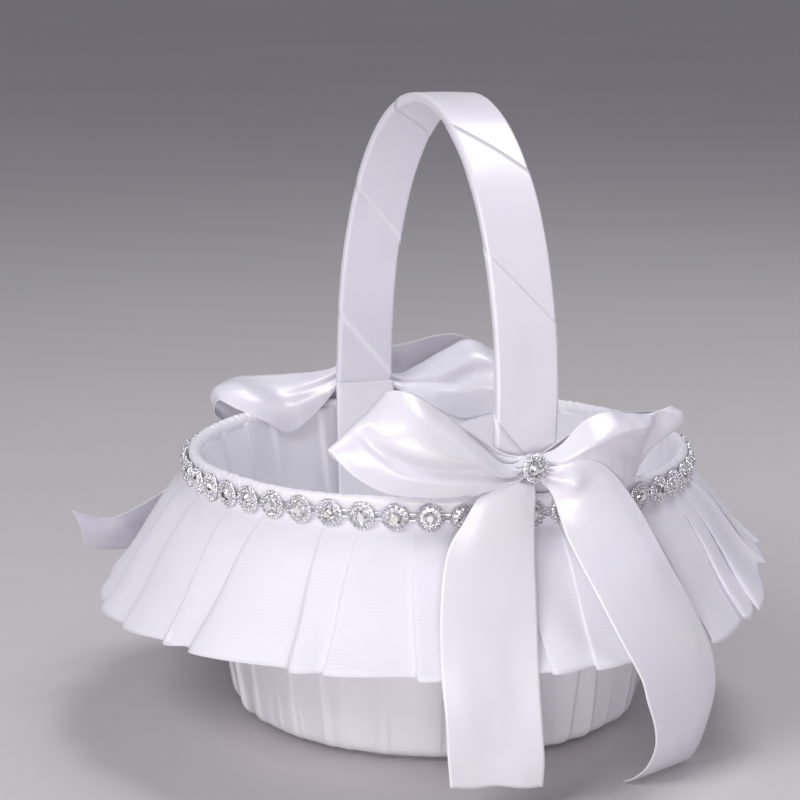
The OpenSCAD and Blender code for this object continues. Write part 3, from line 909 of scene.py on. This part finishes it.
FRONT_RIGHT_LOOP = [
    row((3, -96, 117), (3, -97, 111), 3, 3, 1, 0, 2, 3),
    row((9.5, -96, 119.5), (9, -100, 108.5), 3.5, 5, 4, 2, 3, 2),
    row((18, -95, 127), (18.5, -103, 106.5), 4.5, 8, 5, 3, 3, 2),
    row((28, -92, 129.6), (28, -101, 105.5), 6, 8, 4.5, 3, 2.5, 2),
    row((37, -88.5, 127.8), (34.5, -97, 104.8), 7.5, 7, 4, 2.5, 2, 1.5),
    row((46, -85.5, 126), (38.5, -93, 104.8), 6, 4, 2, 1.2, 1, 1),
    [(51.5, -84, 126.2), (50, -84.6, 122.6), (48.3, -85.6, 118.8), (46.4, -86.8, 115), (44.4, -87.8, 111.5),
     (43, -88.4, 108.6), (42, -89, 106.4), (41.5, -89, 105)],
    [(56, -82, 126.7), (60.4, -81.8, 124), (60.2, -82.2, 120.4), (55.4, -83.2, 116.8), (49.6, -84.4, 113),
     (45.4, -85.4, 108.8), (43.4, -86, 106.2), (42.4, -86.4, 104.8)],
    [(59.6, -78.4, 126.7), (64.8, -78, 123.5), (64.3, -78.4, 119.9), (58.8, -79.2, 116.5), (52, -80.2, 112.9),
     (47, -81.2, 108), (44.6, -81.8, 105.6), (43.6, -82, 104.4)],
    [(56.5, -75.4, 124.6), (60.6, -74.8, 121.8), (60, -75, 118.2), (55, -76, 114.8), (49.4, -77, 111.4),
     (45.2, -78, 107.4), (43.4, -78.6, 105.2), (42.4, -79, 104.2)],
    row((48, -77, 125), (37, -83, 106), -2, -3, -4, -3, -2, -1),
    row((30, -83, 126.5), (24, -89, 107), -2, -3, -3, -3, -2, -1),
    row((14, -90, 121), (12, -94, 109), -1, -1, -1, -1, 0, 0),
    row((3, -95, 117), (3, -95, 111), 0, 0, 0, 0, 0, 0),
]
BACK_LEFT_LOOP = [
    row((-3, 97, 116), (-3, 96, 110), -2, 0, -2),
    row((-9, 98, 112), (-11, 90.5, 104), (0, -2, 0.5), 0, -1),
    row((-16, 100, 110.5), (-18, 84.5, 99.5), (0, -3, 1), (0, -1, 1), (0, -1.5, 0.5)),
    row((-25, 101, 110), (-26, 80.5, 94), (0, -4, 1), (0, -2, 2.2), (0, -2.6, 3)),
    row((-35, 101, 110), (-35, 78.5, 90.5), (0, -4, 1), (0, -2.5, 3.2), (0, -3.5, 4)),
    row((-45, 100, 110.5), (-46, 74.5, 97), (0, -4, 1), (0, -3.5, 2.5), (0, -2.5, 2.5)),
    row((-52, 99, 110), (-57, 77.5, 102.5), (0, -4, 2), (-1, -4, 2), (-1, -2, 1.5)),
    row((-58.5, 98, 107.5), (-62, 84, 104.5), (-1.5, -2, 1.5), (-2, -2, 1), (-1, -1, 0.5)),
    row((-58, 103, 104.5), (-60, 94, 96), (-1, 1, 0.5), (-1, 2, 0), 1),
    row((-48, 106, 105), (-46, 101, 88), 3, 4, 2),
    row((-32, 106, 106), (-30, 102, 89), 3, 4, 2),
    row((-15, 103, 107.5), (-14, 101, 98), 1, 2, 1),
    row((-3, 99, 113), (-3, 99, 108), 0, 0, 0),
]
BACK_RIGHT_LOOP = [
    row((3, 97, 116), (3, 96, 110), -2, 0, -2),
    row((11, 97, 110), (12, 91, 104.5), (0, -2, 0.5), 0, -1),
    row((19, 98, 107.5), (21, 85, 100.5), (0, -3, 1), (0, -1, 1), (0, -1, 0.5)),
    row((28, 98, 111), (30, 79.5, 95.5), (0, -4, 1), (0, -1.5, 1.5), (0, -2, 2.8)),
    row((38, 97, 116), (39, 77, 91.5), (0, -6, 1), (0, -2, 1.5), (0, -3.5, 4)),
    row((47, 97, 120), (48, 74.5, 92.5), (0, -6, 1), (0, -3, 2), (0, -4.5, 4.5)),
    row((54.5, 97, 118.5), (57, 69, 96), (0, -5, 1), (1, -3, 2), (1, -4, 3)),
    row((61, 99, 114), (65, 78, 103.5), (1, -1, 1), (2, -1, 1), (1, 0, 1)),
    row((60, 104, 115), (63, 97, 100), (1, 2, 0), (1, 3, 0), 2),
    row((46, 107, 121), (46, 103, 93), 3, 4, 2),
    row((25, 104, 119), (25, 102, 97), 2, 3, 1),
    row((3, 99, 117), (3, 99, 110), 0, 0, 0),
]
FRONT_LEFT_TAIL = [
    row((-8, -97.5, 109), (-1, -97.5, 109), 0, 1, 0),
    row((-14, -100, 108.5), (-1.5, -100, 108), (0, 0, 0.5), (0, -1, 1), (0, 0, 0.5)),
    row((-20, -102.3, 107.6), (-2, -102.3, 107), (0, -1, 1.6), (0, -1.5, 2.4), (0, -1, 1.6)),
    row((-24.5, -104.2, 104.5), (-2.6, -104.2, 103.8), (0, -1.3, 1.8), (0, -1.7, 2.6), (0, -1.3, 1.8)),
    row((-28.5, -104.8, 98.5), (-3.2, -105, 97), (0, -1.5, 0.6), (0, -1.8, 0.8), (0, -1.4, 0.6)),
    row((-35.5, -106, 87.5), (-4, -108, 84), 1.5, 1.5, 1),
    row((-40.5, -113.5, 70), (-6.5, -116.5, 66), 1.2, 1.3, 0.6),
    row((-42.6, -120.5, 50), (-9.2, -125.5, 46), 0.8, 0.6, -0.3),
    row((-42, -123, 36), (-8.6, -127, 32), 0.3, -0.4, -0.6),
    row((-41, -122.5, 22), (-7.2, -126, 18), -0.4, -0.6, -0.1),
    row((-39.8, -122, 10.6), (-6.6, -123.5, 7.6), (0, 0.7, -0.6), (0, 0.3, 0.4), (0, -0.4, -0.3)),
]
FRONT_RIGHT_TAIL = [
    row((2, -98, 107.5), (2.5, -98, 113), 0, 1.5, 0),
    row((4.2, -100.8, 105), (8, -100.5, 114), 0.5, 3.4, 0.8),
    row((5.2, -102.8, 101.5), (14.5, -102.5, 116), (0, -1.2, -0.5), (1, -5, 0), (0, -1.5, 1)),
    row((6.2, -104.8, 96.5), (23.5, -103, 113.3), 1.5, (1.5, -2.8, 1.2), (1, -1.9, 1.6)),
    row((7.4, -108, 90.5), (33, -105.5, 101.5), 1.2, (1, -2.2, 1.2), (1, -2, 1.2)),
    row((10.6, -113, 81.5), (38.6, -108.8, 91), 1.2, (0.6, -1.8, 0.6), (1, -1.7, 0.8)),
    row((15, -118, 71), (43.5, -112.5, 80.2), 1, (0.5, -1.5, 0.4), (1, -1.4, 0.5)),
    row((21.3, -122.5, 57), (53.5, -112.5, 63.2), 1, (0.5, -1.4, 0.2), (1, -1.1, 0.3)),
    row((28.2, -125.6, 43), (62, -110.5, 46), 0.9, (0.5, -1.3, 0), (1, -1, 0)),
    row((30.8, -126, 34), (65.2, -108, 33.4), 0.9, (0.5, -1.2, 0), (1, -0.9, 0)),
    row((33.8, -125.4, 25), (65.4, -105.6, 23.6), 0.9, (0.5, -1.2, 0), (1, -0.9, 0)),
    row((35, -123.6, 16.5), (64.2, -103.6, 15.5), 0.9, (0.4, -1.1, 0), (0.8, -0.8, 0)),
    row((33.6, -119.8, 8.4), (62.6, -101.4, 7.6), 0.8, (0.3, -0.9, 0), (0.6, -0.6, 0)),
    row((30.8, -115.6, 3.4), (60, -99.6, 2.2), 0.6, (0.2, -0.6, 0), (0.4, -0.4, 0)),
    row((28.6, -112, 1.2), (57, -98, 0.6), (0, -0.3, 0.1), 0.3, 0.2),
]


def drape_r(z):
    """Radius of what a tail falls over at height z, as in the CAD."""
    cone = hem_r - (hem_r - 93.5) * (max(z, hem_z) - hem_z) / (90 - hem_z)
    return max(96.7, cone)


def tail_rows(stations, width, bellies):
    """Rows of a tail from [azimuth from -Y, height, lift, roll, share of width], as in the CAD."""
    rows = []
    for (az, z, lift, roll, share), belly in zip(stations, bellies):
        a, q = np.radians([az, roll])
        out, along = np.array([np.sin(a), -np.cos(a), 0]), np.array([np.cos(a), np.sin(a), 0])
        middle = (drape_r(z) + lift) * out + [0, 0, z]
        half = (np.cos(q) * along + np.array([0, 0, np.sin(q)])) * share * width / 2
        rows.append(row(middle - half, middle + half, *[tuple(out * b) for b in belly]))
    return rows


BACK_RIGHT_TAIL = tail_rows(
    [[177, 108.5, 1.0, 0, 0.2], [177, 107.5, 5.5, 0, 0.4], [174, 101, 8.6, 0, 0.75], [171, 85, 6.5, 0, 1],
     [169, 60, 5, 0, 1], [168, 44, 4.2, 0, 1], [169.5, 24, 3, 0, 1], [171, 6, 0.5, 0, 1]],
    32, [(0, 0.5, 0), (0.5, 1, 0.5), (1.2, 2, 1.2), (1.5, 2, 1.5), (1.2, 1.6, 1), (0.8, 0.6, 1),
         (-0.5, 0.6, 1), (-1, -0.2, 0.8)])
BACK_LEFT_TAIL = tail_rows(
    [[183, 108, 1.5, 30, 0.22], [186, 103, 4.5, 38, 0.4], [191, 93, 7, 41, 0.6], [202, 73, 9.8, 40, 0.9],
     [213, 57.5, 9.8, 35, 0.95], [224, 53, 10, 33, 1], [233, 55, 13, 36, 1], [241, 60, 19, 40, 1],
     [246.5, 64, 25, 42, 1]],
    32, [(0, 1, 0), (0, 1.5, 0), (0.5, 2, 0.5), (1, 3, 1), (1.5, 3.5, 1.5), (2, 3, 1.5), (1, 0, -1),
         (0, -1.5, -1.5), (0, -0.8, -0.6)])


def make_knot(side):
    """The short band of ribbon that holds a bow together, pleated across its width."""
    middle = knot_at[side] - [0, 0, 1.4]
    lo, hi = cad("front_knot" if side < 0 else "back_knot")
    half, radius = 0.36 * (hi[0] - lo[0]), 0.40 * (hi[2] - lo[2])
    turn = full_circle(90)
    v = np.linspace(-1, 1, 41)
    T, V = turn[:, None] + 0 * v, v[None, :] + 0 * turn[:, None]
    fold = 0.42 * np.cos(3.2 * np.pi * V + 1.3 * np.sin(T + 0.7))
    fold += 0.2 * np.sin(5.3 * np.pi * V + 2 * np.sin(2 * T))
    r = radius * (1 - 0.30 * np.abs(V) ** 3.2) - 0.5 + fold * (1 - np.abs(V) ** 4)
    waist = 1 + 0.05 * np.cos(2 * T)
    p = np.stack([V * half * 0.98, np.cos(T) * r * waist, np.sin(T) * r], -1) + middle
    return cloth("knot_front" if side < 0 else "knot_back", p, 0.35, white_satin, wrap=True, side=1,
                 flip=True, hem_width=0.9, bead=0.05)


def make_pad():
    """The round wadding under the lining: crowned, with a pulled-in edge."""
    lo, hi = cad("floor_pad")
    radius, height = hi[0], hi[2] - lo[2]
    theta = full_circle(180)
    t = np.linspace(0, 1, 18)
    top = np.stack([radius * t, hi[2] - 0.3 + 0.25 * (1 - t ** 2)], 1)
    edge = [(radius + 0.2 * np.sin(np.pi * k), hi[2] - 0.3 - (height - 0.5) * k)
            for k in (0.1, 0.35, 0.65, 0.9)]
    low = np.stack([radius * t[::-1], np.full(18, lo[2] + 0.1)], 1)
    p, n = revolve(np.concatenate([top, edge, low]), theta)
    nu, nv = p.shape[:2]
    p[..., 2] += 0.12 * ripples(p, 14, 71) * (p[..., 2] > lo[2] + 3)
    c = quads(nu, nv, True)
    faces = (c[..., 0] % nu) * nv + c[..., 1]
    return link("floor_wadding", p.reshape(-1, 3), faces[:, ::-1], wadding, weld=True)


# ---- assembling ----

UNDER_TAILS = 1.6

finish(make_cover(), "outer_cover")
finish(make_lining(), "inner_lining")
finish(make_binding(), "rim_binding")
finish(make_pad(), "floor_pad")

tails = {name: ribbon("tail_" + name, rows, seed, 0.06)
         for name, rows, seed in (("front_left", FRONT_LEFT_TAIL, 14), ("front_right", FRONT_RIGHT_TAIL, 15),
                                  ("back_left", BACK_LEFT_TAIL, 15), ("back_right", BACK_RIGHT_TAIL, 16))}

press = presser([tails["front_left"], tails["front_right"]], UNDER_TAILS)
inner_line = [(tape_r - 1.0, collar_top - 0.2), (tape_r - 0.95, 93.2), (tape_r - 0.6, 90.2),
              (tape_r + 2.4, 85.2), (tape_r + 6.4, 79.0), (tape_r + 12.0, 69.0), (tape_r + 17.0, 60.0),
              (inner_hem_r - 1.5, inner_hem_z)]
outer_line = [(tape_r - 0.55, collar_top), (tape_r - 0.45, 93.6), (tape_r + 0.3, 91.0),
              (tape_r + 4.5, 86.8), (tape_r + 9.5, 80.5), (tape_r + 16.5, 69.5), (tape_r + 23.2, 58.5),
              (hem_r, hem_z + 0.5)]
inner_skirt = pleated("skirt_net_inner", inner_line, 38, 1.2, 3.0, 17, press, inner_net)
finish(inner_skirt, "skirt_inner")
outer_skirt = pleated("skirt_net_outer", outer_line, 34, 2.3, 5.5, 11, press, outer_net)
finish(outer_skirt, "skirt_outer")
finish(make_tape(), "gather_tape")

make_stones()

finish(make_handle_wrap(), "handle_wrap")
for side, foot in ((-1, "front"), (1, "back")):
    finish(make_foot_patch(side), foot + "_foot_patch")
for side, foot in ((-1, "front"), (1, "back")):
    finish(make_knot(side), foot + "_knot")

for foot, hand, rows, seed, length in (("front", "left", FRONT_LEFT_LOOP, 28, 0.135),
                                       ("front", "right", FRONT_RIGHT_LOOP, 30, 0.120),
                                       ("back", "left", BACK_LEFT_LOOP, 27, 0.112),
                                       ("back", "right", BACK_RIGHT_LOOP, 27, 0.125)):
    loop = finish(ribbon(f"loop_{foot}_{hand}", rows, seed, 0.18), f"{foot}_loop_{hand}")

# Each tail is fast to the basket before the first point and hangs free after the second.
FRONT_BENDS = ((0, -0.0985, 0.109), (0, -0.104, 0.097))
BACK_BENDS = ((0, 0.0985, 0.109), (0, 0.104, 0.097))
SWEPT_BENDS = ((-0.004, 0.1005, 0.106), (-0.026, 0.101, 0.094))
for foot, hand, (start, end) in (("front", "left", FRONT_BENDS), ("front", "right", FRONT_BENDS),
                                 ("back", "left", SWEPT_BENDS), ("back", "right", BACK_BENDS)):
    tail = tails[f"{foot}_{hand}"]
    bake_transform(tail)
    finish(tail, f"{foot}_tail_{hand}", rides=False)

for node, material in (("base_disc", board), ("bowl_shell", bowl_plastic), ("rim_wire", steel),
                       ("band_links", silver), ("handle_core", bowl_plastic)):
    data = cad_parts[node].data
    data.materials.clear()
    data.materials.append(material)

# ---- floor and light ----

FLOOR_HALF = 9
LIGHTS_AIM = 0.1


def make_floor():
    g = Graph("floor_pale")
    place = g.add("TexCoord").outputs["Object"]
    mottle = g.between(g.noise(place, 3, 3), 0, 1)
    g.shader(Base_Color=g.mixed(mottle, (0.66, 0.63, 0.63, 1), (0.68, 0.65, 0.65, 1)), Roughness=0.6)
    me = bpy.data.meshes.new("floor")
    corners = [(-1, -1), (1, -1), (1, 1), (-1, 1)]
    me.from_pydata([(x * FLOOR_HALF, y * FLOOR_HALF, 0) for x, y in corners], [], [(0, 1, 2, 3)])
    me.materials.append(g.material)
    ob = bpy.data.objects.new("floor", me)
    bpy.context.scene.collection.objects.link(ob)


def softbox(name, azimuth, elevation, far, size, power, colour):
    data = bpy.data.lights.new(name, "AREA")
    data.shape = "RECTANGLE"
    data.size, data.size_y = size
    data.energy = power
    data.color = colour
    back = direction(azimuth, elevation)
    placed(name, data, np.array([0, 0, LIGHTS_AIM]) + back * far, back)


make_floor()
softbox("key", -60, 37, 1.3, (0.6, 0.6), 7.2, (0.985, 0.98, 1.0))
softbox("front", -22, 2, 1.6, (0.7, 0.5), 11, (1.0, 0.96, 0.98))
softbox("right", 82, 30, 1.5, (0.4, 0.8), 1.4, (0.93, 0.94, 1.0))
softbox("top", 115, 66, 1.3, (0.6, 0.5), 6.5, (0.96, 0.96, 1.0))
world = bpy.data.worlds.new("studio")
world.use_nodes = True
sky = world.node_tree.nodes["Background"]
sky.inputs[0].default_value = (0.79, 0.78, 0.90, 1)
sky.inputs[1].default_value = 0.27
bpy.context.scene.world = world
bpy.context.scene.view_settings.view_transform = "Standard"
